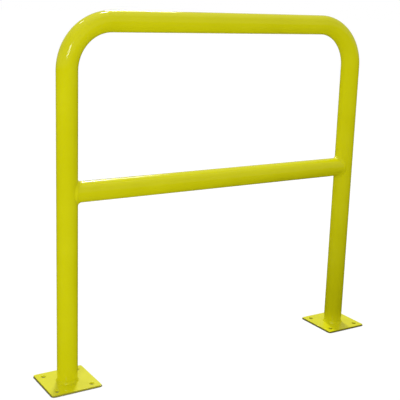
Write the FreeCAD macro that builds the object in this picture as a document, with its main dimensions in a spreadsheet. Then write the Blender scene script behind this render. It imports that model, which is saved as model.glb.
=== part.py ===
import FreeCAD, Part

import math
import os

import Sketcher

# Steel safety railing: one pipe bent into a hoop, a coped mid rail between its legs,
# a drilled base plate under each leg, and the welds that join them.
# Millimetres, +Z up, X along the rails. The origin is on the floor, midway between the legs.

# Driving dimensions: alias, value and what it measures.
SIZES = (
    ("overall_height", 1066.8, "floor to the top of the hoop"),
    ("overall_width", 1066.8, "over the outsides of the two legs"),
    ("pipe_diameter", 60.3, "outside of the pipe that the hoop and the mid rail are cut from"),
    ("pipe_wall", 3.9, "wall of that pipe"),
    ("bend_radius", 133.35, "bends of the hoop, to the centreline"),
    ("mid_rail_height", 565.15, "floor to the axis of the mid rail"),
    ("coping_clearance", 1.0, "fit-up gap between a coped rail end and its leg"),
    ("plate_side", 152.4, "side of a square base plate"),
    ("plate_thickness", 4.76, "thickness of a base plate"),
    ("plate_corner_radius", 5.0, "rounded corners of a base plate"),
    ("hole_diameter", 14.3, "bolt holes of a base plate"),
    ("hole_inset", 23.0, "centre of a bolt hole to the two nearest edges"),
    ("foot_weld_leg", 6.0, "fillet weld round a foot, up the pipe and along the plate"),
    ("saddle_weld_throat", 5.0, "depth of the bead round a mid rail end, above and below the rail"),
    ("saddle_weld_crown", 1.8, "height of that bead over the pipes, at the front and back"),
    ("saddle_weld_width", 10.8, "width of that bead"),
)

# Lengths that several pieces share, as expressions on the sheet.
HALF_SPACING = "(dims.overall_width - dims.pipe_diameter) / 2"
PIPE_RADIUS = "dims.pipe_diameter / 2"
PIPE_BORE = "dims.pipe_diameter - 2 * dims.pipe_wall"
TOP_RAIL_AXIS = "dims.overall_height - dims.pipe_diameter / 2"

# The left side of the railing is towards -X.
SIDES = {"left": -1, "right": 1}

# How a sketch's constraints name its own origin and axes, and the points of a curve.
START, END, CENTRE = range(1, 4)
H_AXIS, V_AXIS = range(-1, -3, -1)
ORIGIN_POINT = (H_AXIS, START)

# Pipes of one size that meet squarely cross on planes tilted by this many degrees.
MITRE_ANGLE = 45


def vector(x, y, z=0.0):
    """A point or direction."""
    return FreeCAD.Vector(x, y, z)


def make_sheet(doc):
    """The sheet of driving dimensions, one named row each."""
    sheet = doc.addObject("Spreadsheet::Sheet", "dims")
    for row, (alias, value, meaning) in enumerate(SIZES, start=1):
        sheet.set(f"A{row}", meaning)
        sheet.set(f"B{row}", str(value))
        sheet.setAlias(f"B{row}", alias)
    doc.recompute()
    return sheet


def new_body(doc, label):
    """A body whose label names the sub-part."""
    body = doc.addObject("PartDesign::Body", label)
    body.Label = label
    return body


def origin_plane(body, role):
    """One of the body's own origin planes."""
    return next(feature for feature in body.Origin.OriginFeatures if feature.Role == role)


def new_sketch(body, name, role):
    """A sketch on one of the body's own origin planes."""
    sketch = body.newObject("Sketcher::SketchObject", name)
    sketch.AttachmentSupport = [(origin_plane(body, role), "")]
    sketch.MapMode = "FlatFace"
    return sketch


def drive(sketch, name, constraint, expression):
    """Add a dimension to a sketch and bind it to the sheet."""
    index = sketch.addConstraint(constraint)
    sketch.renameConstraint(index, name)
    sketch.setExpression(f"Constraints.{name}", expression)


def drive_from_origin(sketch, name, direction, curve, point, value, expression):
    """Bind a point's distance from the sketch's origin, along DistanceX or DistanceY."""
    drive(sketch, name, Sketcher.Constraint(direction, *ORIGIN_POINT, curve, point, value), expression)


def add_line(sketch, start, end):
    """A straight line; returns its index."""
    return sketch.addGeometry(Part.LineSegment(start, end))


def add_circle(sketch, name, centre, diameter, expression):
    """A circle with its diameter bound to the sheet; returns its index."""
    circle = sketch.addGeometry(Part.Circle(centre, vector(0, 0, 1), diameter / 2))
    drive(sketch, name, Sketcher.Constraint("Diameter", circle, diameter), expression)
    return circle


def add_pipe_section(sketch, centre, dims):
    """The two concentric circles of the pipe; returns the outer one's index."""
    bore_diameter = dims.pipe_diameter - 2 * dims.pipe_wall
    outside = add_circle(sketch, "outside", centre, dims.pipe_diameter, "dims.pipe_diameter")
    bore = add_circle(sketch, "bore", centre, bore_diameter, PIPE_BORE)
    sketch.addConstraint(Sketcher.Constraint("Coincident", outside, CENTRE, bore, CENTRE))
    return outside


def close_loop(sketch, curves):
    """Join each curve's end to the start of the next, and the last to the first."""
    for curve, following in zip(curves, curves[1:] + curves[:1]):
        sketch.addConstraint(Sketcher.Constraint("Coincident", curve, END, following, START))


def cut_through(doc, body, name, sketch, side_type="One side"):
    """Pocket a sketch right through a body, towards the sketch's normal, and see that it cuts."""
    uncut_volume = body.Tip.Shape.Volume
    pocket = body.newObject("PartDesign::Pocket", name)
    pocket.Profile = sketch
    pocket.Type = "ThroughAll"
    pocket.SideType = side_type
    pocket.Reversed = True
    doc.recompute()
    if pocket.Shape.Volume >= uncut_volume:
        raise RuntimeError(f"{name} cuts nothing")
    return pocket


def upright_edges(shape):
    """Names of a shape's straight edges that stand along Z."""
    names = []
    for number, edge in enumerate(shape.Edges, start=1):
        if isinstance(edge.Curve, Part.Line) and edge.Curve.Direction.isParallel(vector(0, 0, 1), 1e-6):
            names.append(f"Edge{number}")
    return names


def place(body, axis, expression):
    """Bind one coordinate of a sub-part's Placement to the sheet."""
    body.setExpression(f".Placement.Base.{axis}", expression)


def half_spacing(dims):
    """Half the distance between the axes of the legs."""
    return (dims.overall_width - dims.pipe_diameter) / 2


def make_hoop(doc, dims):
    """The hoop: both legs, both bends and the top rail, swept as one pipe."""
    half = half_spacing(dims)
    radius = dims.bend_radius
    foot = dims.plate_thickness
    top = dims.overall_height - dims.pipe_diameter / 2
    shoulder = top - radius
    normal = vector(0, 0, 1)
    body = new_body(doc, "hoop")

    path = new_sketch(body, "hoop_centreline", "XZ_Plane")
    left_circle = Part.Circle(vector(radius - half, shoulder), normal, radius)
    right_circle = Part.Circle(vector(half - radius, shoulder), normal, radius)
    left_leg = add_line(path, vector(-half, foot), vector(-half, shoulder))
    left_bend = path.addGeometry(Part.ArcOfCircle(left_circle, math.pi / 2, math.pi))
    top_run = add_line(path, vector(radius - half, top), vector(half - radius, top))
    right_bend = path.addGeometry(Part.ArcOfCircle(right_circle, 0, math.pi / 2))
    right_leg = add_line(path, vector(half, shoulder), vector(half, foot))
    path.addConstraint([
        Sketcher.Constraint("Tangent", left_leg, END, left_bend, END),
        Sketcher.Constraint("Tangent", left_bend, START, top_run, START),
        Sketcher.Constraint("Tangent", top_run, END, right_bend, END),
        Sketcher.Constraint("Tangent", right_bend, START, right_leg, START),
        Sketcher.Constraint("Vertical", left_leg),
        Sketcher.Constraint("Horizontal", top_run),
        Sketcher.Constraint("Vertical", right_leg),
        Sketcher.Constraint("Equal", left_bend, right_bend),
        Sketcher.Constraint("Symmetric", left_leg, START, right_leg, END, V_AXIS),
    ])
    drive(path, "bend", Sketcher.Constraint("Radius", left_bend, radius), "dims.bend_radius")
    drive_from_origin(path, "half_spacing", "DistanceX", right_leg, END, half, HALF_SPACING)
    drive_from_origin(path, "foot", "DistanceY", right_leg, END, foot, "dims.plate_thickness")
    drive_from_origin(path, "top", "DistanceY", top_run, END, top, TOP_RAIL_AXIS)

    section = new_sketch(body, "hoop_section", "XY_Plane")
    section.setExpression(".AttachmentOffset.Base.z", "dims.plate_thickness")
    outside = add_pipe_section(section, vector(half, 0), dims)
    section.addConstraint(Sketcher.Constraint("PointOnObject", outside, CENTRE, H_AXIS))
    drive_from_origin(section, "half_spacing", "DistanceX", outside, CENTRE, half, HALF_SPACING)
    doc.recompute()

    pipe = body.newObject("PartDesign::AdditivePipe", "hoop_pipe")
    pipe.Profile = section
    pipe.Spine = (path, [f"Edge{number}" for number in range(1, path.GeometryCount + 1)])
    doc.recompute()
    return body


def make_mid_rail(doc, dims):
    """The mid rail: a straight pipe with both ends coped to fit round the legs."""
    half = half_spacing(dims)
    height = dims.mid_rail_height
    body = new_body(doc, "mid_rail")

    section = new_sketch(body, "mid_rail_section", "YZ_Plane")
    outside = add_pipe_section(section, vector(0, height), dims)
    section.addConstraint(Sketcher.Constraint("PointOnObject", outside, CENTRE, V_AXIS))
    drive_from_origin(section, "height", "DistanceY", outside, CENTRE, height, "dims.mid_rail_height")
    pipe = body.newObject("PartDesign::Pad", "mid_rail_pipe")
    pipe.Profile = section
    pipe.SideType = "Symmetric"
    pipe.setExpression("Length", f"2 * {HALF_SPACING}")

    copes = new_sketch(body, "mid_rail_copes", "XY_Plane")
    cope_diameter = dims.pipe_diameter + 2 * dims.coping_clearance
    cope_expression = "dims.pipe_diameter + 2 * dims.coping_clearance"
    left = add_circle(copes, "left_cope", vector(-half, 0), cope_diameter, cope_expression)
    right = add_circle(copes, "right_cope", vector(half, 0), cope_diameter, cope_expression)
    copes.addConstraint(Sketcher.Constraint("PointOnObject", right, CENTRE, H_AXIS))
    copes.addConstraint(Sketcher.Constraint("Symmetric", left, CENTRE, right, CENTRE, V_AXIS))
    drive_from_origin(copes, "half_spacing", "DistanceX", right, CENTRE, half, HALF_SPACING)
    doc.recompute()
    cut_through(doc, body, "mid_rail_cope", copes)
    return body


def make_base_plate(doc, dims, side):
    """A square base plate with rounded corners and a bolt hole near each corner."""
    label = f"{side}_base_plate"
    half_side = dims.plate_side / 2
    body = new_body(doc, label)

    outline = new_sketch(body, f"{label}_outline", "XY_Plane")
    points = [vector(x * half_side, y * half_side) for x, y in ((-1, -1), (1, -1), (1, 1), (-1, 1))]
    front, right, back, left = [add_line(outline, *ends) for ends in zip(points, points[1:] + points[:1])]
    close_loop(outline, [front, right, back, left])
    outline.addConstraint([
        Sketcher.Constraint("Horizontal", front),
        Sketcher.Constraint("Vertical", right),
        Sketcher.Constraint("Horizontal", back),
        Sketcher.Constraint("Vertical", left),
        Sketcher.Constraint("Equal", front, right),
        Sketcher.Constraint("Symmetric", front, START, back, START, *ORIGIN_POINT),
    ])
    drive(outline, "side", Sketcher.Constraint("Distance", front, dims.plate_side), "dims.plate_side")
    slab = body.newObject("PartDesign::Pad", f"{label}_slab")
    slab.Profile = outline
    slab.setExpression("Length", "dims.plate_thickness")
    doc.recompute()

    corners = body.newObject("PartDesign::Fillet", f"{label}_corners")
    corners.Base = (slab, upright_edges(slab.Shape))
    corners.setExpression("Radius", "dims.plate_corner_radius")
    doc.recompute()

    drilling = new_sketch(body, f"{label}_drilling", "XY_Plane")
    reach = half_side - dims.hole_inset
    reach_expression = "dims.plate_side / 2 - dims.hole_inset"
    hole = add_circle(drilling, "hole", vector(reach, reach), dims.hole_diameter, "dims.hole_diameter")
    drive_from_origin(drilling, "along", "DistanceX", hole, CENTRE, reach, reach_expression)
    drive_from_origin(drilling, "across", "DistanceY", hole, CENTRE, reach, reach_expression)
    bolt_hole = cut_through(doc, body, f"{label}_bolt_hole", drilling)
    bolt_holes = body.newObject("PartDesign::PolarPattern", f"{label}_bolt_holes")
    bolt_holes.Originals = [bolt_hole]
    bolt_holes.Axis = (drilling, ["N_Axis"])
    bolt_holes.Angle = 360
    bolt_holes.Occurrences = 4
    body.Tip = bolt_holes

    place(body, "x", f"{SIDES[side]} * {HALF_SPACING}")
    doc.recompute()
    return body


def make_foot_weld(doc, dims, side):
    """The fillet weld round the foot of a leg, revolved from its three-sided section."""
    label = f"{side}_foot_weld"
    inside = dims.pipe_diameter / 2
    leg = dims.foot_weld_leg
    body = new_body(doc, label)

    section = new_sketch(body, f"{label}_section", "XZ_Plane")
    root = vector(inside, 0)
    plate_toe = vector(inside + leg, 0)
    pipe_toe = vector(inside, leg)
    on_plate = add_line(section, root, plate_toe)
    face = add_line(section, plate_toe, pipe_toe)
    on_pipe = add_line(section, pipe_toe, root)
    close_loop(section, [on_plate, face, on_pipe])
    section.addConstraint([
        Sketcher.Constraint("PointOnObject", on_plate, START, H_AXIS),
        Sketcher.Constraint("Horizontal", on_plate),
        Sketcher.Constraint("Vertical", on_pipe),
        Sketcher.Constraint("Equal", on_plate, on_pipe),
    ])
    drive_from_origin(section, "inside", "DistanceX", on_plate, START, inside, PIPE_RADIUS)
    drive(section, "leg", Sketcher.Constraint("Distance", on_plate, leg), "dims.foot_weld_leg")
    bead = body.newObject("PartDesign::Revolution", f"{label}_bead")
    bead.Profile = section
    bead.ReferenceAxis = (section, ["V_Axis"])
    bead.Angle = 360

    place(body, "x", f"{SIDES[side]} * {HALF_SPACING}")
    place(body, "z", "dims.plate_thickness")
    doc.recompute()
    return body


def make_mid_rail_weld(doc, dims, side):
    """The saddle weld round an end of the mid rail: bands on both mitre planes, less the two pipes.

    Its own origin is where the axes of the leg and the rail cross, with +X along the rail.
    """
    label = f"{side}_mid_rail_weld"
    half_width = dims.saddle_weld_width / 2
    crotch = dims.pipe_diameter / math.sqrt(2) + dims.saddle_weld_throat
    flank = dims.pipe_diameter / 2 + dims.saddle_weld_crown
    body = new_body(doc, label)

    band = new_sketch(body, f"{label}_band", "XY_Plane")
    band.AttachmentOffset = FreeCAD.Placement(vector(0, 0), FreeCAD.Rotation(vector(0, 1), -MITRE_ANGLE))
    ellipse = Part.Ellipse(vector(0, 0), crotch, flank)
    saddle = band.addGeometry(Part.ArcOfEllipse(ellipse, -math.pi / 2, math.pi / 2))
    band.exposeInternalGeometry(saddle)
    long_axis = saddle + 1
    short_axis = saddle + 2
    back = add_line(band, vector(0, flank), vector(-half_width, flank))
    tail = add_line(band, vector(-half_width, flank), vector(-half_width, -flank))
    front = add_line(band, vector(-half_width, -flank), vector(0, -flank))
    close_loop(band, [saddle, back, tail, front])
    band.addConstraint([
        Sketcher.Constraint("Coincident", saddle, CENTRE, *ORIGIN_POINT),
        Sketcher.Constraint("Horizontal", long_axis),
        Sketcher.Constraint("PointOnObject", saddle, START, V_AXIS),
        Sketcher.Constraint("PointOnObject", saddle, END, V_AXIS),
        Sketcher.Constraint("Horizontal", back),
        Sketcher.Constraint("Vertical", tail),
        Sketcher.Constraint("Horizontal", front),
    ])
    crotch_expression = "2 * (dims.pipe_diameter / sqrt(2) + dims.saddle_weld_throat)"
    flank_expression = "dims.pipe_diameter + 2 * dims.saddle_weld_crown"
    drive(band, "crotch", Sketcher.Constraint("Distance", long_axis, 2 * crotch), crotch_expression)
    drive(band, "flank", Sketcher.Constraint("Distance", short_axis, 2 * flank), flank_expression)
    drive(band, "tail", Sketcher.Constraint("Distance", back, half_width), "dims.saddle_weld_width / 2")
    upper = body.newObject("PartDesign::Pad", f"{label}_upper")
    upper.Profile = band
    upper.SideType = "Symmetric"
    upper.setExpression("Length", "dims.saddle_weld_width")
    doc.recompute()

    lower = body.newObject("PartDesign::Mirrored", f"{label}_lower")
    lower.Originals = [upper]
    lower.MirrorPlane = (origin_plane(body, "XY_Plane"), [""])
    body.Tip = lower
    doc.recompute()

    for pipe, role, side_type in (("leg", "XY_Plane", "Symmetric"), ("rail", "YZ_Plane", "One side")):
        outside = new_sketch(body, f"{label}_{pipe}", role)
        circle = add_circle(outside, "outside", vector(0, 0), dims.pipe_diameter, "dims.pipe_diameter")
        outside.addConstraint(Sketcher.Constraint("Coincident", circle, CENTRE, *ORIGIN_POINT))
        cut_through(doc, body, f"{label}_{pipe}_seat", outside, side_type)

    towards_rail = vector(-SIDES[side], 0)
    body.Placement = FreeCAD.Placement(vector(0, 0), FreeCAD.Rotation(vector(1, 0), towards_rail))
    place(body, "x", f"{SIDES[side]} * {HALF_SPACING}")
    place(body, "z", "dims.mid_rail_height")
    doc.recompute()
    return body


def check(doc, sub_parts):
    """Stop if any object failed to build, or a sub-part isn't one valid solid."""
    for item in doc.Objects:
        if "Invalid" in item.State or "Error" in item.State:
            raise RuntimeError(f"{item.Name} failed: {item.State}")
    for sub_part in sub_parts:
        shape = sub_part.Shape
        if shape.isNull() or not shape.isValid() or len(shape.Solids) != 1:
            raise RuntimeError(f"{sub_part.Label} isn't one valid solid")


def main():
    """Build every sub-part, check them, and write each to its own file."""
    doc = FreeCAD.newDocument("steel_safety_railing")
    dims = make_sheet(doc)
    sub_parts = [make_hoop(doc, dims), make_mid_rail(doc, dims)]
    for side in SIDES:
        sub_parts.append(make_base_plate(doc, dims, side))
        sub_parts.append(make_foot_weld(doc, dims, side))
        sub_parts.append(make_mid_rail_weld(doc, dims, side))
    doc.recompute()
    check(doc, sub_parts)

    os.makedirs("parts", exist_ok=True)
    for sub_part in sub_parts:
        sub_part.Shape.exportStep(f"parts/{sub_part.Label}.step")
        print(f"{sub_part.Label}: {sub_part.Shape.Volume:.0f} mm3")


main()
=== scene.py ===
"""Steel safety railing in glossy yellow paint: the looks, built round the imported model.

Metres, +Z up, X along the rails, -Y towards the viewer. The origin is on the floor, midway
between the legs.
"""

import logging
import math
from dataclasses import dataclass
from enum import Enum

import bmesh
import bpy
from mathutils import Matrix, Vector


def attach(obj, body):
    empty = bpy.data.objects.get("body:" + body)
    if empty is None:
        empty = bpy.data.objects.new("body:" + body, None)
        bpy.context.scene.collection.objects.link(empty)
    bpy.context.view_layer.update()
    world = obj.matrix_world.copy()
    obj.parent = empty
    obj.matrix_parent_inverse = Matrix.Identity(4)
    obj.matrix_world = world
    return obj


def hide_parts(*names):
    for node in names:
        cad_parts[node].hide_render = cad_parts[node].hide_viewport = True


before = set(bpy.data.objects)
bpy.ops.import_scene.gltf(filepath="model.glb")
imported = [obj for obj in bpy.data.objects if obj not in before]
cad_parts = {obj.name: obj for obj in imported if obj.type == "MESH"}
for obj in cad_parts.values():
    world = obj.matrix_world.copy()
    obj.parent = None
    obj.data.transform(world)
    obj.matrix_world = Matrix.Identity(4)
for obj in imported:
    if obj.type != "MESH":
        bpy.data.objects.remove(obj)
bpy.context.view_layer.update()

log = logging.getLogger("railing")

BODY = "root"
IMAGE_SIDE = 400
# Name of the mask attribute for painted shade on the plates' outer side faces.
SHADE_MASK = "painted_side_shade"
FULL_TURN = 2 * math.pi
MERGE_DISTANCE = 1e-7

# Measures that several pieces share.
HALF_SPACING = 0.50325
MID_RAIL_HEIGHT = 0.56515
PLATE_THICKNESS = 0.00476
EAR_CUT = 0.017

# A colour Mix node's sockets, which share their names with its other types.
MIX_A = 6
MIX_B = 7
MIX_RESULT = 2

# The middle range that holds nearly all of a noise's values.
NOISE_LOW = 0.3
NOISE_HIGH = 0.7

Colour = tuple[float, float, float, float]


class Side(Enum):
    """The two ends of the railing, with the sign of their X."""

    LEFT = -1
    RIGHT = 1

    @property
    def word(self) -> str:
        """The side's name as the pieces' names spell it."""
        return self.name.lower()


class Slot(Enum):
    """The record's material slots."""

    PIPE = "pipe_paint"
    PLATE = "plate_paint"
    WELD = "weld_paint"


def loop_edges(verts: list[bmesh.types.BMVert]) -> list[bmesh.types.BMEdge]:
    """Edges that join some vertices.

    Args:
        verts: The vertices of one or more loops.

    Returns:
        Each edge of theirs once.
    """
    return list({edge: None for vert in verts for edge in vert.link_edges})


def faces_of(geom: list) -> list[bmesh.types.BMFace]:
    """The faces among an operator's results."""
    return [item for item in geom if isinstance(item, bmesh.types.BMFace)]


class Piece:
    """A finished piece of the railing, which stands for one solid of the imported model."""

    node: str
    slot: Slot
    sharp_angle: float = math.radians(35)

    def shape(self, bm: bmesh.types.BMesh) -> None:
        """Model the piece in its place.

        Args:
            bm: An empty mesh to build in.
        """
        raise NotImplementedError

    def build(self) -> bpy.types.Object:
        """Make the piece's object, smooth but for its sharp edges.

        Returns:
            The object, at the origin, with its place in its mesh.
        """
        bm = bmesh.new()
        self.shape(bm)
        bmesh.ops.remove_doubles(bm, verts=bm.verts, dist=MERGE_DISTANCE)
        bmesh.ops.recalc_face_normals(bm, faces=bm.faces)
        for face in bm.faces:
            face.smooth = True
        name = f"{self.node}_painted"
        mesh = bpy.data.meshes.new(name)
        bm.to_mesh(mesh)
        bm.free()
        mesh.set_sharp_from_angle(angle=self.sharp_angle)
        piece = bpy.data.objects.new(name, mesh)
        bpy.context.scene.collection.objects.link(piece)
        return piece

    def dress(self, piece: bpy.types.Object, material: bpy.types.Material) -> None:
        """Paint the piece and fix it to the railing in place of its solid.

        Args:
            piece: The piece's object.
            material: Its paint.
        """
        piece.data.materials.append(material)
        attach(piece, BODY)
        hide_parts(self.node)


@dataclass(frozen=True)
class PipeStock:
    """The pipe that the hoop and the mid rail are cut from."""

    radius: float = 0.03015
    wall: float = 0.0039
    segments: int = 96

    def end_face(self, bm: bmesh.types.BMesh, place: Matrix) -> list[bmesh.types.BMFace]:
        """A flat ring, the pipe's section.

        Args:
            bm: The mesh to build in.
            place: Where the ring lies; its normal is the matrix's Z.

        Returns:
            The ring's faces.
        """
        verts = []
        for radius in (self.radius, self.radius - self.wall):
            made = bmesh.ops.create_circle(bm, segments=self.segments, radius=radius, matrix=place)
            verts += made["verts"]
        return bmesh.ops.bridge_loops(bm, edges=loop_edges(verts))["faces"]

    @staticmethod
    def run(
        bm: bmesh.types.BMesh, faces: list[bmesh.types.BMFace], step: Vector
    ) -> list[bmesh.types.BMFace]:
        """Extrude a straight length of pipe from an end.

        Args:
            bm: The mesh to build in.
            faces: The end's faces.
            step: The length, as a vector.

        Returns:
            The faces of the new end.
        """
        geom = bmesh.ops.extrude_face_region(bm, geom=faces)["geom"]
        verts = [item for item in geom if isinstance(item, bmesh.types.BMVert)]
        bmesh.ops.translate(bm, vec=step, verts=verts)
        return faces_of(geom)


@dataclass
class Hoop(Piece):
    """The hoop: two legs, two bends and the top rail, bent from one pipe."""

    stock: PipeStock
    half_spacing: float = HALF_SPACING
    foot: float = PLATE_THICKNESS
    height: float = 1.0668
    bend_radius: float = 0.13335
    bend_steps: int = 40
    node: str = "hoop"
    slot: Slot = Slot.PIPE

    def bend(
        self, bm: bmesh.types.BMesh, faces: list[bmesh.types.BMFace], centre: Vector
    ) -> list[bmesh.types.BMFace]:
        """Turn a quarter bend from an end of the pipe.

        Args:
            bm: The mesh to build in.
            faces: The end's faces.
            centre: The bend's centre.

        Returns:
            The faces of the new end.
        """
        made = bmesh.ops.spin(
            bm, geom=faces, cent=centre, axis=(0, 1, 0), angle=FULL_TURN / 4, steps=self.bend_steps
        )
        return faces_of(made["geom_last"])

    def shape(self, bm: bmesh.types.BMesh) -> None:
        """Run the pipe up the left leg, along the top and down the right leg, open all the way.

        Args:
            bm: An empty mesh to build in.
        """
        top = self.height - self.stock.radius
        shoulder = top - self.bend_radius
        inset = self.half_spacing - self.bend_radius
        place = Matrix.Translation((-self.half_spacing, 0, self.foot))
        left_foot = self.stock.end_face(bm, place)
        left_shoulder = self.stock.run(bm, left_foot, Vector((0, 0, shoulder - self.foot)))
        left_crown = self.bend(bm, left_shoulder, Vector((-inset, 0, shoulder)))
        right_crown = self.stock.run(bm, left_crown, Vector((2 * inset, 0, 0)))
        right_shoulder = self.bend(bm, right_crown, Vector((inset, 0, shoulder)))
        self.stock.run(bm, right_shoulder, Vector((0, 0, self.foot - shoulder)))
        joins = left_shoulder + left_crown + right_crown + right_shoulder
        bmesh.ops.delete(bm, geom=joins, context="FACES")


@dataclass
class MidRail(Piece):
    """The mid rail: a straight pipe with both ends coped to the legs, less the copes' thin ears."""

    stock: PipeStock
    half_spacing: float = HALF_SPACING
    height: float = MID_RAIL_HEIGHT
    clearance: float = 0.001
    ear_cut: float = EAR_CUT
    node: str = "mid_rail"
    slot: Slot = Slot.PIPE

    def shape(self, bm: bmesh.types.BMesh) -> None:
        """Run the pipe between the legs, then pull its ends to the copes.

        Args:
            bm: An empty mesh to build in.
        """
        along_x = Matrix.Rotation(FULL_TURN / 4, 4, "Y")
        start = Matrix.Translation((-self.half_spacing, 0, self.height)) @ along_x
        end = self.stock.end_face(bm, start)
        self.stock.run(bm, end, Vector((2 * self.half_spacing, 0, 0)))
        cope = self.stock.radius + self.clearance
        for vert in bm.verts:
            depth = max(self.ear_cut, math.sqrt(cope * cope - vert.co.y * vert.co.y))
            vert.co.x -= math.copysign(depth, vert.co.x)


@dataclass
class BasePlate(Piece):
    """A square base plate with rounded corners, softened edges and four bolt holes."""

    side: Side
    half_spacing: float = HALF_SPACING
    half_side: float = 0.0762
    thickness: float = PLATE_THICKNESS
    corner_radius: float = 0.005
    corner_steps: int = 10
    hole_radius: float = 0.00715
    hole_reach: float = 0.0532
    hole_segments: int = 48
    edge_radius: float = 0.0007
    edge_steps: int = 5
    flat_normal: float = 0.999
    slot: Slot = Slot.PLATE

    def __post_init__(self) -> None:
        """Name the solid that the plate stands for."""
        self.node = f"{self.side.word}_base_plate"

    def levels(self) -> list[tuple[float, float]]:
        """The section of a softened edge, from the top face down to the bottom one.

        Returns:
            Pairs of the inset from the full outline and the height.
        """
        section = []
        for step in range(self.edge_steps + 1):
            turn = FULL_TURN / 4 * step / self.edge_steps
            inset = self.edge_radius * (1 - math.sin(turn))
            drop = self.edge_radius * (1 - math.cos(turn))
            section.append((inset, drop))
        upper = [(inset, self.thickness - drop) for inset, drop in section]
        return upper + section[::-1]

    def outline(self, bm: bmesh.types.BMesh, inset: float, height: float) -> list[bmesh.types.BMEdge]:
        """A loop of the plate's outline.

        Args:
            bm: The mesh to build in.
            inset: How far it lies inside the full outline.
            height: How high it lies.

        Returns:
            The loop's edges.
        """
        before = set(bm.faces)
        place = Matrix.Translation((0, 0, height))
        made = bmesh.ops.create_grid(
            bm, x_segments=1, y_segments=1, size=self.half_side - inset, matrix=place
        )
        bmesh.ops.bevel(
            bm,
            geom=made["verts"],
            offset=self.corner_radius - inset,
            offset_type="OFFSET",
            segments=self.corner_steps,
            profile=0.5,
            affect="VERTICES",
            material=-1,
        )
        (face,) = set(bm.faces) - before
        edges = list(face.edges)
        bmesh.ops.delete(bm, geom=[face], context="FACES_ONLY")
        return edges

    def hole(self, bm: bmesh.types.BMesh, inset: float, centre: Vector) -> list[bmesh.types.BMEdge]:
        """A loop of a bolt hole.

        Args:
            bm: The mesh to build in.
            inset: How far it lies outside the hole's own circle.
            centre: Its centre.

        Returns:
            The loop's edges.
        """
        made = bmesh.ops.create_circle(
            bm,
            segments=self.hole_segments,
            radius=self.hole_radius + inset,
            matrix=Matrix.Translation(centre),
        )
        return loop_edges(made["verts"])

    def shape(self, bm: bmesh.types.BMesh) -> None:
        """Stack loops down the outer edge and down each hole, and fill the two faces between them.

        Args:
            bm: An empty mesh to build in.
        """
        levels = self.levels()
        walls = [[self.outline(bm, inset, height) for inset, height in levels]]
        for x in (-self.hole_reach, self.hole_reach):
            for y in (-self.hole_reach, self.hole_reach):
                walls.append([self.hole(bm, inset, Vector((x, y, height))) for inset, height in levels])
        for loops in walls:
            for upper, lower in zip(loops, loops[1:]):
                bmesh.ops.bridge_loops(bm, edges=upper + lower)
        for level in (0, -1):
            edges = [edge for loops in walls for edge in loops[level]]
            bmesh.ops.triangle_fill(bm, use_beauty=True, edges=edges, normal=(0, 0, 1))
        bmesh.ops.translate(bm, vec=(self.side.value * self.half_spacing, 0, 0), verts=bm.verts)

    def build(self) -> bpy.types.Object:
        """Make the plate, with its two broad faces shaded flat and its outer cut edges masked for painted
        shade.

        Returns:
            The object.
        """
        piece = super().build()
        mesh = piece.data
        for face in mesh.polygons:
            face.use_smooth = abs(face.normal.z) < self.flat_normal
        # Mask for painted shade on the outer side faces: full below the softened rim, none round the
        # holes.
        cut = mesh.attributes.new(SHADE_MASK, "FLOAT", "POINT")
        centre = self.side.value * self.half_spacing
        rim = self.hole_reach + self.hole_radius + 2 * self.edge_radius
        for vert in mesh.vertices:
            depth = min(vert.co.z, self.thickness - vert.co.z)
            outside = max(abs(vert.co.x - centre), abs(vert.co.y)) > rim
            cut.data[vert.index].value = min(1.0, depth / self.edge_radius) if outside else 0.0
        return piece


@dataclass(frozen=True)
class BeadRipple:
    """The ripples that a hand-made bead keeps under its paint.

    The lengths of the slow swell and of its wander count in pitches, and the rest are angles.
    """

    pitch: float = 0.0036
    depth: float = 0.0001
    lag: float = 1.5
    swell_length: float = 3.7
    wander: float = 1.1
    wander_length: float = 8.3
    crowding: float = 1.4

    def lift(self, along: float, across: float) -> float:
        """How far the bead's face stands out from its plain section.

        Args:
            along: Distance along the bead.
            across: Place across its face, from 0 to 1.

        Returns:
            The lift in metres, nothing at the two toes.
        """
        lag = self.lag * (2 * across - 1) ** 2
        wander = self.wander * math.sin(along / (self.pitch * self.wander_length))
        slow = 0.5 + 0.5 * math.sin(along / (self.pitch * self.swell_length) + wander)
        wave = math.cos(FULL_TURN * along / self.pitch + self.crowding * slow - lag)
        return self.depth * math.sin(math.pi * across) * (wave + slow)


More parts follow.
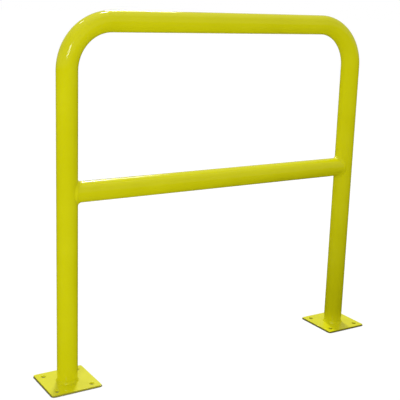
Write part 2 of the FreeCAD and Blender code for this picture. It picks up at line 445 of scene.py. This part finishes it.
@dataclass
class FootWeld(Piece):
    """The fillet bead round the foot of a leg, which runs further up the leg than out over the plate."""

    side: Side
    stock: PipeStock
    ripple: BeadRipple
    half_spacing: float = HALF_SPACING
    plate_top: float = PLATE_THICKNESS
    rise: float = 0.008
    reach: float = 0.0034
    hollow: float = 0.2
    sink: float = 0.0004
    face_steps: int = 8
    turn_steps: int = 336
    slot: Slot = Slot.WELD

    def __post_init__(self) -> None:
        """Name the solid that the bead stands for."""
        self.node = f"{self.side.word}_foot_weld"

    def section(self, bm: bmesh.types.BMesh) -> list:
        """The bead's closed section, beside the pipe on the XZ plane.

        Args:
            bm: The mesh to build in.

        Returns:
            Its vertices and edges.
        """
        radius = self.stock.radius
        points = [(radius - self.sink, self.rise)]
        for step in range(self.face_steps + 1):
            across = step / self.face_steps
            turn = FULL_TURN / 4 * across
            out = across + self.hollow * (1 - math.cos(turn) - across)
            up = 1 - across + self.hollow * (across - math.sin(turn))
            points.append((radius + self.reach * out, self.rise * up))
        points += [(radius + self.reach, -self.sink), (radius - self.sink, -self.sink)]
        verts = [bm.verts.new((x, 0, z)) for x, z in points]
        edges = [bm.edges.new(ends) for ends in zip(verts, verts[1:] + verts[:1])]
        return verts + edges

    def shape(self, bm: bmesh.types.BMesh) -> None:
        """Spin the section round the leg and ripple its face.

        Args:
            bm: An empty mesh to build in.
        """
        bmesh.ops.spin(
            bm,
            geom=self.section(bm),
            cent=(0, 0, 0),
            axis=(0, 0, 1),
            angle=FULL_TURN,
            steps=self.turn_steps,
            use_merge=True,
        )
        radius = self.stock.radius
        for vert in bm.verts:
            out = math.hypot(vert.co.x, vert.co.y) - radius
            if min(out, vert.co.z) < 0:
                continue
            outward = Vector((vert.co.x, vert.co.y, 0)).normalized()
            along = math.atan2(vert.co.y, vert.co.x) * (radius + self.reach / 2)
            across = min(1.0, max(0.0, 0.5 + (out / self.reach - vert.co.z / self.rise) / 2))
            normal = (outward * self.rise + Vector((0, 0, self.reach))).normalized()
            vert.co += normal * self.ripple.lift(along, across)
        bmesh.ops.translate(
            bm, vec=(self.side.value * self.half_spacing, 0, self.plate_top), verts=bm.verts
        )


@dataclass
class SaddleWeld(Piece):
    """The bead round a coped end of the mid rail, which follows that end over the leg.

    It is worked out about the crossing of the pipes' axes, with +X along the rail, by the angle
    round the rail from the back.
    """

    side: Side
    stock: PipeStock
    ripple: BeadRipple
    half_spacing: float = HALF_SPACING
    height: float = MID_RAIL_HEIGHT
    turn_in: float = 0.008
    ear_cut: float = EAR_CUT
    ear_round: int = 6
    flank_leg: float = 0.0045
    crotch_leg: float = 0.0072
    crown: float = 0.0013
    hollow: float = 0.45
    sink: float = 0.0002
    face_steps: int = 10
    turn_steps: int = 360
    slope_step: float = 1e-4
    ripple_stretch: float = 1.2
    slot: Slot = Slot.WELD

    def __post_init__(self) -> None:
        """Name the solid that the bead stands for."""
        self.node = f"{self.side.word}_mid_rail_weld"

    def root(self, angle: float) -> Vector:
        """A point of the rail's coped end, with its ears cut off at front and back.

        Args:
            angle: Angle round the rail.

        Returns:
            The point.
        """
        y = self.stock.radius * math.cos(angle)
        z = self.stock.radius * math.sin(angle)
        reaches = (math.hypot(z, self.turn_in), self.ear_cut)
        total = sum(reach**self.ear_round for reach in reaches)
        return Vector((total ** (1 / self.ear_round), y, z))

    def on_leg(self, point: Vector) -> Vector:
        """Move a point straight out or in to just under the leg's surface.

        Args:
            point: The point to move.

        Returns:
            The moved point.
        """
        reach = (self.stock.radius - self.sink) / math.hypot(point.x, point.y)
        return Vector((point.x * reach, point.y * reach, point.z))

    def on_rail(self, point: Vector) -> Vector:
        """Move a point straight out or in to just under the rail's surface.

        Args:
            point: The point to move.

        Returns:
            The moved point.
        """
        reach = (self.stock.radius - self.sink) / math.hypot(point.y, point.z)
        return Vector((point.x, point.y * reach, point.z * reach))

    def face_point(self, angle: float, across: float) -> Vector:
        """A point of the bead's face.

        Args:
            angle: Angle round the rail.
            across: From 0 at the leg's toe to 1 at the rail's toe.

        Returns:
            The point.
        """
        root = self.root(angle)
        ahead = (self.root(angle + self.slope_step) - self.root(angle - self.slope_step)).normalized()
        rail_normal = Vector((0, root.y, root.z)).normalized()
        leg_normal = Vector((root.x, root.y, 0)).normalized()
        along_rail = ahead.cross(rail_normal)
        if along_rail.x < 0:
            along_rail.negate()
        up_leg = ahead.cross(leg_normal)
        if up_leg.dot(Vector((-abs(math.cos(angle)), 0, math.sin(angle)))) < 0:
            up_leg.negate()
        crotch = math.sin(angle) ** 2
        leg = self.flank_leg + (self.crotch_leg - self.flank_leg) * crotch
        leg_toe = self.on_leg(root + up_leg * leg)
        rail_toe = self.on_rail(root + along_rail * leg)
        normal = (leg_normal + rail_normal).normalized()
        middle = (leg_toe + rail_toe) / 2
        bulge = normal * (2 * self.crown * (1 - crotch))
        dip = (root - middle) * (self.hollow * crotch)
        pull = middle + bulge + dip
        back = 1 - across
        point = leg_toe * back * back + pull * (2 * back * across) + rail_toe * across * across
        lift = self.ripple.lift(angle * self.stock.radius * self.ripple_stretch, across)
        return point + (leg_normal * back + rail_normal * across).normalized() * lift

    def shape(self, bm: bmesh.types.BMesh) -> None:
        """Spin a loop of numbered points round the rail, then move each to its place on the bead.

        Args:
            bm: An empty mesh to build in.
        """
        steps = self.face_steps
        verts = [bm.verts.new((step, 1, 0)) for step in range(steps + 2)]
        edges = [bm.edges.new(ends) for ends in zip(verts, verts[1:] + verts[:1])]
        bmesh.ops.spin(
            bm,
            geom=verts + edges,
            cent=(0, 0, 0),
            axis=(1, 0, 0),
            angle=FULL_TURN,
            steps=self.turn_steps,
            use_merge=True,
        )
        for vert in bm.verts:
            angle = math.atan2(vert.co.z, vert.co.y)
            step = round(vert.co.x)
            if step > steps:
                vert.co = self.on_leg(self.root(angle))
            else:
                vert.co = self.face_point(angle, step / steps)
        if self.side is Side.RIGHT:
            half_turn = Matrix.Rotation(math.pi, 3, "Z")
            bmesh.ops.rotate(bm, cent=(0, 0, 0), matrix=half_turn, verts=bm.verts)
        bmesh.ops.translate(bm, vec=(self.side.value * self.half_spacing, 0, self.height), verts=bm.verts)


def sprayed_paint_group() -> bpy.types.ShaderNodeTree:
    """The look of sprayed gloss paint: orange peel, drifting tone and uneven gloss.

    Returns:
        A node group that puts out a tone mask, a roughness and a height.
    """
    group = bpy.data.node_groups.new("sprayed_paint", "ShaderNodeTree")
    face = group.interface
    face.new_socket("Vector", in_out="INPUT", socket_type="NodeSocketVector")
    for name in ("Peel Scale", "Drift Scale", "Gloss Low", "Gloss High"):
        face.new_socket(name, in_out="INPUT", socket_type="NodeSocketFloat")
    for name in ("Tone", "Roughness", "Height"):
        face.new_socket(name, in_out="OUTPUT", socket_type="NodeSocketFloat")
    nodes = group.nodes
    links = group.links
    enter = nodes.new("NodeGroupInput")
    leave = nodes.new("NodeGroupOutput")

    def noise(scale: str, detail: float, rough: float) -> bpy.types.NodeSocket:
        """A noise at one of the group's scales.

        Args:
            scale: The input that sets it.
            detail: Octaves.
            rough: How strong the finer octaves are.

        Returns:
            Its value socket.
        """
        node = nodes.new("ShaderNodeTexNoise")
        node.inputs["Detail"].default_value = detail
        node.inputs["Roughness"].default_value = rough
        links.new(enter.outputs["Vector"], node.inputs["Vector"])
        links.new(enter.outputs[scale], node.inputs["Scale"])
        return node.outputs["Fac"]

    def spread(source: bpy.types.NodeSocket) -> bpy.types.ShaderNode:
        """Stretch a noise's middle range over 0 to 1.

        Args:
            source: The noise's value.

        Returns:
            The node, whose To Min and To Max may still be set.
        """
        node = nodes.new("ShaderNodeMapRange")
        node.inputs["From Min"].default_value = NOISE_LOW
        node.inputs["From Max"].default_value = NOISE_HIGH
        links.new(source, node.inputs["Value"])
        return node

    drift = noise("Drift Scale", detail=3.0, rough=0.55)
    peel = noise("Peel Scale", detail=2.0, rough=0.4)
    links.new(spread(drift).outputs["Result"], leave.inputs["Tone"])
    gloss = spread(drift)
    links.new(enter.outputs["Gloss Low"], gloss.inputs["To Min"])
    links.new(enter.outputs["Gloss High"], gloss.inputs["To Max"])
    links.new(gloss.outputs["Result"], leave.inputs["Roughness"])
    links.new(peel, leave.inputs["Height"])
    return group


@dataclass(frozen=True)
class GlossPaint:
    """A sprayed gloss paint, as one of the pieces wears it."""

    name: str
    deep: Colour
    light: Colour
    peel_scale: float
    drift_scale: float
    gloss_low: float
    gloss_high: float
    peel_depth: float
    # Colour of the painted shade on the plates' outer cut edges, if any.
    edge_shade_colour: Colour | None = None
    shine: float = 0.32

    def shade_edges(
        self, tree: bpy.types.ShaderNodeTree, colour: bpy.types.NodeSocket
    ) -> bpy.types.NodeSocket:
        """Darken the paint on the plates' outer cut edges, as painted shade.

        Args:
            tree: The material's nodes.
            colour: The paint's colour elsewhere.

        Returns:
            The colour to use.
        """
        if self.edge_shade_colour is None:
            return colour
        # Painted shade: mix towards the shade colour by the outer-edge mask.
        cut = tree.nodes.new("ShaderNodeAttribute")
        cut.attribute_name = SHADE_MASK
        mix = tree.nodes.new("ShaderNodeMix")
        mix.data_type = "RGBA"
        mix.inputs[MIX_B].default_value = self.edge_shade_colour
        tree.links.new(cut.outputs["Fac"], mix.inputs["Factor"])
        tree.links.new(colour, mix.inputs[MIX_A])
        return mix.outputs[MIX_RESULT]

    def material(self, group: bpy.types.ShaderNodeTree) -> bpy.types.Material:
        """Mix the paint.

        Args:
            group: The sprayed paint effect.

        Returns:
            The material.
        """
        material = bpy.data.materials.new(self.name)
        material.use_nodes = True
        nodes = material.node_tree.nodes
        links = material.node_tree.links
        shader = nodes["Principled BSDF"]
        shader.inputs["Specular IOR Level"].default_value = self.shine
        place = nodes.new("ShaderNodeTexCoord")
        spray = nodes.new("ShaderNodeGroup")
        spray.node_tree = group
        spray.inputs["Peel Scale"].default_value = self.peel_scale
        spray.inputs["Drift Scale"].default_value = self.drift_scale
        spray.inputs["Gloss Low"].default_value = self.gloss_low
        spray.inputs["Gloss High"].default_value = self.gloss_high
        tint = nodes.new("ShaderNodeMix")
        tint.data_type = "RGBA"
        tint.inputs[MIX_A].default_value = self.deep
        tint.inputs[MIX_B].default_value = self.light
        bump = nodes.new("ShaderNodeBump")
        bump.inputs["Strength"].default_value = 1.0
        bump.inputs["Distance"].default_value = self.peel_depth
        links.new(place.outputs["Object"], spray.inputs["Vector"])
        links.new(spray.outputs["Tone"], tint.inputs["Factor"])
        colour = self.shade_edges(material.node_tree, tint.outputs[MIX_RESULT])
        links.new(colour, shader.inputs["Base Color"])
        links.new(spray.outputs["Roughness"], shader.inputs["Roughness"])
        links.new(spray.outputs["Height"], bump.inputs["Height"])
        links.new(bump.outputs["Normal"], shader.inputs["Normal"])
        return material


@dataclass(frozen=True)
class SoftBox:
    """A soft rectangular studio light."""

    name: str
    place: Vector
    aim: Vector
    width: float
    depth: float
    watts: float

    def build(self) -> None:
        """Hang the light and turn it to its aim."""
        light = bpy.data.lights.new(self.name, "AREA")
        light.shape = "RECTANGLE"
        light.size = self.width
        light.size_y = self.depth
        light.energy = self.watts
        holder = bpy.data.objects.new(self.name, light)
        holder.location = self.place
        holder.visible_camera = False
        holder.rotation_euler = (self.aim - self.place).to_track_quat("-Z", "Y").to_euler()
        bpy.context.scene.collection.objects.link(holder)


@dataclass
class Studio:
    """A plain pale floor under soft light."""

    floor_radius: float = 60.0
    floor_segments: int = 96
    floor_drop: float = 0.0003
    floor_glow: float = 0.94
    floor_tone: float = 0.12
    floor_bounce: float = 0.76
    dull_centre: tuple[float, float, float] = (0.6, -0.2, 0)
    dull_inner: float = 0.55
    dull_outer: float = 0.85
    dull_bounce: float = 0.08
    corner_reach: float = 0.03
    corner_dark: float = 0.69
    corner_open: float = 0.79
    sky_low: float = 0.41
    sky_high: float = 0.95
    sky_turn: float = 0.7
    sky_below: float = 0.03
    sky_edge_low: float = -0.04
    sky_edge_high: float = 0.08
    sky_seen: float = 1.0

    def floor_material(self) -> bpy.types.Material:
        """White to the eye, with painted shade in narrow corners, and with a bounce that fades by the
        right foot.

        Returns:
            The floor's material.
        """
        material = bpy.data.materials.new("pale_floor")
        material.use_nodes = True
        nodes = material.node_tree.nodes
        links = material.node_tree.links
        nodes.remove(nodes["Principled BSDF"])
        # Painted shade: the floor's glow dims where ambient occlusion finds a narrow corner, as in the
        # bolt holes and along the plates' edges.
        corner = nodes.new("ShaderNodeAmbientOcclusion")
        corner.inputs["Distance"].default_value = self.corner_reach
        open_share = nodes.new("ShaderNodeMapRange")
        open_share.inputs["From Min"].default_value = self.corner_dark
        open_share.inputs["From Max"].default_value = self.corner_open
        open_share.inputs["To Max"].default_value = self.floor_glow
        glow = nodes.new("ShaderNodeEmission")
        seen = nodes.new("ShaderNodeBsdfDiffuse")
        seen.inputs["Color"].default_value = (self.floor_tone, self.floor_tone, self.floor_tone, 1)
        both = nodes.new("ShaderNodeAddShader")
        place = nodes.new("ShaderNodeTexCoord")
        away = nodes.new("ShaderNodeVectorMath")
        away.operation = "DISTANCE"
        away.inputs[1].default_value = self.dull_centre
        pale_share = nodes.new("ShaderNodeMapRange")
        pale_share.interpolation_type = "SMOOTHSTEP"
        pale_share.inputs["From Min"].default_value = self.dull_inner
        pale_share.inputs["From Max"].default_value = self.dull_outer
        pale_share.inputs["To Min"].default_value = self.dull_bounce
        pale_share.inputs["To Max"].default_value = self.floor_bounce
        bounce = nodes.new("ShaderNodeEmission")
        path = nodes.new("ShaderNodeLightPath")
        choose = nodes.new("ShaderNodeMixShader")
        links.new(corner.outputs["AO"], open_share.inputs["Value"])
        links.new(open_share.outputs["Result"], glow.inputs["Strength"])
        links.new(seen.outputs[0], both.inputs[0])
        links.new(glow.outputs[0], both.inputs[1])
        links.new(place.outputs["Object"], away.inputs[0])
        links.new(away.outputs["Value"], pale_share.inputs["Value"])
        links.new(pale_share.outputs["Result"], bounce.inputs["Strength"])
        links.new(path.outputs["Is Camera Ray"], choose.inputs[0])
        links.new(bounce.outputs[0], choose.inputs[1])
        links.new(both.outputs[0], choose.inputs[2])
        links.new(choose.outputs[0], nodes["Material Output"].inputs["Surface"])
        return material

    def floor(self) -> None:
        """Lay the floor just under the plates, unseen in their gloss."""
        bm = bmesh.new()
        place = Matrix.Translation((0, 0, -self.floor_drop))
        bmesh.ops.create_circle(
            bm, cap_ends=True, segments=self.floor_segments, radius=self.floor_radius, matrix=place
        )
        mesh = bpy.data.meshes.new("floor")
        bm.to_mesh(mesh)
        bm.free()
        mesh.materials.append(self.floor_material())
        floor = bpy.data.objects.new("floor", mesh)
        floor.visible_glossy = False
        bpy.context.scene.collection.objects.link(floor)

    def sky(self) -> None:
        """Surround the railing with a pale light, brighter overhead and dark below the floor's line."""
        world = bpy.data.worlds.new("soft_room")
        world.use_nodes = True
        bpy.context.scene.world = world
        nodes = world.node_tree.nodes
        links = world.node_tree.links
        room = nodes["Background"]
        place = nodes.new("ShaderNodeTexCoord")
        split = nodes.new("ShaderNodeSeparateXYZ")
        rise = nodes.new("ShaderNodeMapRange")
        rise.inputs["From Min"].default_value = self.sky_turn
        rise.inputs["To Min"].default_value = self.sky_low
        rise.inputs["To Max"].default_value = self.sky_high
        dim = nodes.new("ShaderNodeMapRange")
        dim.inputs["From Min"].default_value = self.sky_edge_low
        dim.inputs["From Max"].default_value = self.sky_edge_high
        dim.inputs["To Min"].default_value = self.sky_below
        level = nodes.new("ShaderNodeMath")
        level.operation = "MULTIPLY"
        white = nodes.new("ShaderNodeBackground")
        white.inputs["Strength"].default_value = self.sky_seen
        for background in (room, white):
            background.inputs["Color"].default_value = (1, 1, 1, 1)
        path = nodes.new("ShaderNodeLightPath")
        choose = nodes.new("ShaderNodeMixShader")
        links.new(place.outputs["Generated"], split.inputs[0])
        links.new(split.outputs["Z"], rise.inputs["Value"])
        links.new(split.outputs["Z"], dim.inputs["Value"])
        links.new(rise.outputs["Result"], level.inputs[0])
        links.new(dim.outputs["Result"], level.inputs[1])
        links.new(level.outputs[0], room.inputs["Strength"])
        links.new(path.outputs["Is Camera Ray"], choose.inputs[0])
        links.new(room.outputs[0], choose.inputs[1])
        links.new(white.outputs[0], choose.inputs[2])
        links.new(choose.outputs[0], nodes["World Output"].inputs["Surface"])

    def build(self) -> None:
        """Lay the floor, light the room and hang the lights."""
        self.floor()
        self.sky()
        lights = (
            SoftBox(
                name="front_light",
                place=Vector((-3.07, -3.54, 2.45)),
                aim=Vector((-0.2, 0, 0.6)),
                width=0.9,
                depth=1.3,
                watts=50,
            ),
            SoftBox(
                name="high_rear_lamp",
                place=Vector((1.25, 3.0, 6.7)),
                aim=Vector((0, 0, 0.5)),
                width=0.9,
                depth=1.2,
                watts=112,
            ),
            SoftBox(
                name="low_rear_lamp",
                place=Vector((1.25, 3.0, 3.5)),
                aim=Vector((0, 0, 0.3)),
                width=0.5,
                depth=0.4,
                watts=38,
            ),
            SoftBox(
                name="rear_left_lamp",
                place=Vector((-1.15, 1.55, 3.52)),
                aim=Vector((-0.3, 0, 0.8)),
                width=0.3,
                depth=0.3,
                watts=3,
            ),
            SoftBox(
                name="rear_window",
                place=Vector((1.7, 3.0, 3.3)),
                aim=Vector((-0.2, 0, 0.6)),
                width=0.5,
                depth=0.45,
                watts=11,
            ),
        )
        for light in lights:
            light.build()
        bpy.context.scene.view_settings.view_transform = "Standard"


@dataclass(frozen=True)
class PhotoCamera:
    """The camera at the photograph's place, with its measures in the picture's pixels."""

    place: Vector
    azimuth: float
    elevation: float
    roll: float
    focal: float
    centre: tuple[float, float]

    def build(self) -> None:
        """Set the camera up as the scene's own."""
        data = bpy.data.cameras.new("photo_camera")
        data.lens = self.focal * data.sensor_width / IMAGE_SIDE
        data.shift_x = 0.5 - self.centre[0] / IMAGE_SIDE
        data.shift_y = self.centre[1] / IMAGE_SIDE - 0.5
        azimuth = math.radians(self.azimuth)
        elevation = math.radians(self.elevation)
        back = Vector(
            (
                math.sin(azimuth) * math.cos(elevation),
                -math.cos(azimuth) * math.cos(elevation),
                math.sin(elevation),
            )
        )
        turn = back.to_track_quat("Z", "Y").to_matrix().to_4x4()
        roll = Matrix.Rotation(-math.radians(self.roll), 4, "Z")
        camera = bpy.data.objects.new("photo_camera", data)
        camera.matrix_world = Matrix.Translation(self.place) @ turn @ roll
        bpy.context.scene.collection.objects.link(camera)
        bpy.context.scene.camera = camera


def main() -> None:
    """Build the camera, the studio and every piece of the railing."""
    logging.basicConfig(level=logging.INFO, format="%(name)s: %(message)s")
    PhotoCamera(
        place=Vector((-1.3864, -2.1078, 1.1012)),
        azimuth=-32.39,
        elevation=12.22,
        roll=-1.974,
        focal=833.44,
        centre=(205.6, 180.9),
    ).build()
    Studio().build()

    deep = (0.775, 0.75, 0.0035, 1)
    light = (0.82, 0.797, 0.0045, 1)
    # Painted shade for the plates' outer cut edges, darker than the paint.
    edge_shade_colour = (0.4, 0.37, 0.012, 1)
    group = sprayed_paint_group()
    paints = {
        Slot.PIPE: GlossPaint(
            name="yellow_gloss_pipe",
            deep=deep,
            light=light,
            peel_scale=380,
            drift_scale=9,
            gloss_low=0.07,
            gloss_high=0.12,
            peel_depth=0.8e-5,
        ),
        Slot.PLATE: GlossPaint(
            name="yellow_gloss_plate",
            deep=deep,
            light=light,
            peel_scale=380,
            drift_scale=16,
            gloss_low=0.28,
            gloss_high=0.33,
            peel_depth=0.8e-5,
            edge_shade_colour=edge_shade_colour,
        ),
        Slot.WELD: GlossPaint(
            name="yellow_gloss_weld",
            deep=deep,
            light=light,
            peel_scale=520,
            drift_scale=40,
            gloss_low=0.13,
            gloss_high=0.2,
            peel_depth=2.0e-5,
            shine=0.14,
        ),
    }
    materials = {slot: paint.material(group) for slot, paint in paints.items()}

    stock = PipeStock()
    ripple = BeadRipple()
    pieces: list[Piece] = [Hoop(stock), MidRail(stock)]
    for side in Side:
        pieces.append(BasePlate(side))
        pieces.append(FootWeld(side, stock, ripple))
        pieces.append(SaddleWeld(side, stock, ripple))
    for piece in pieces:
        made = piece.build()
        piece.dress(made, materials[piece.slot])
        log.info("%s: %d faces", made.name, len(made.data.polygons))


if __name__ == "__main__":
    main()
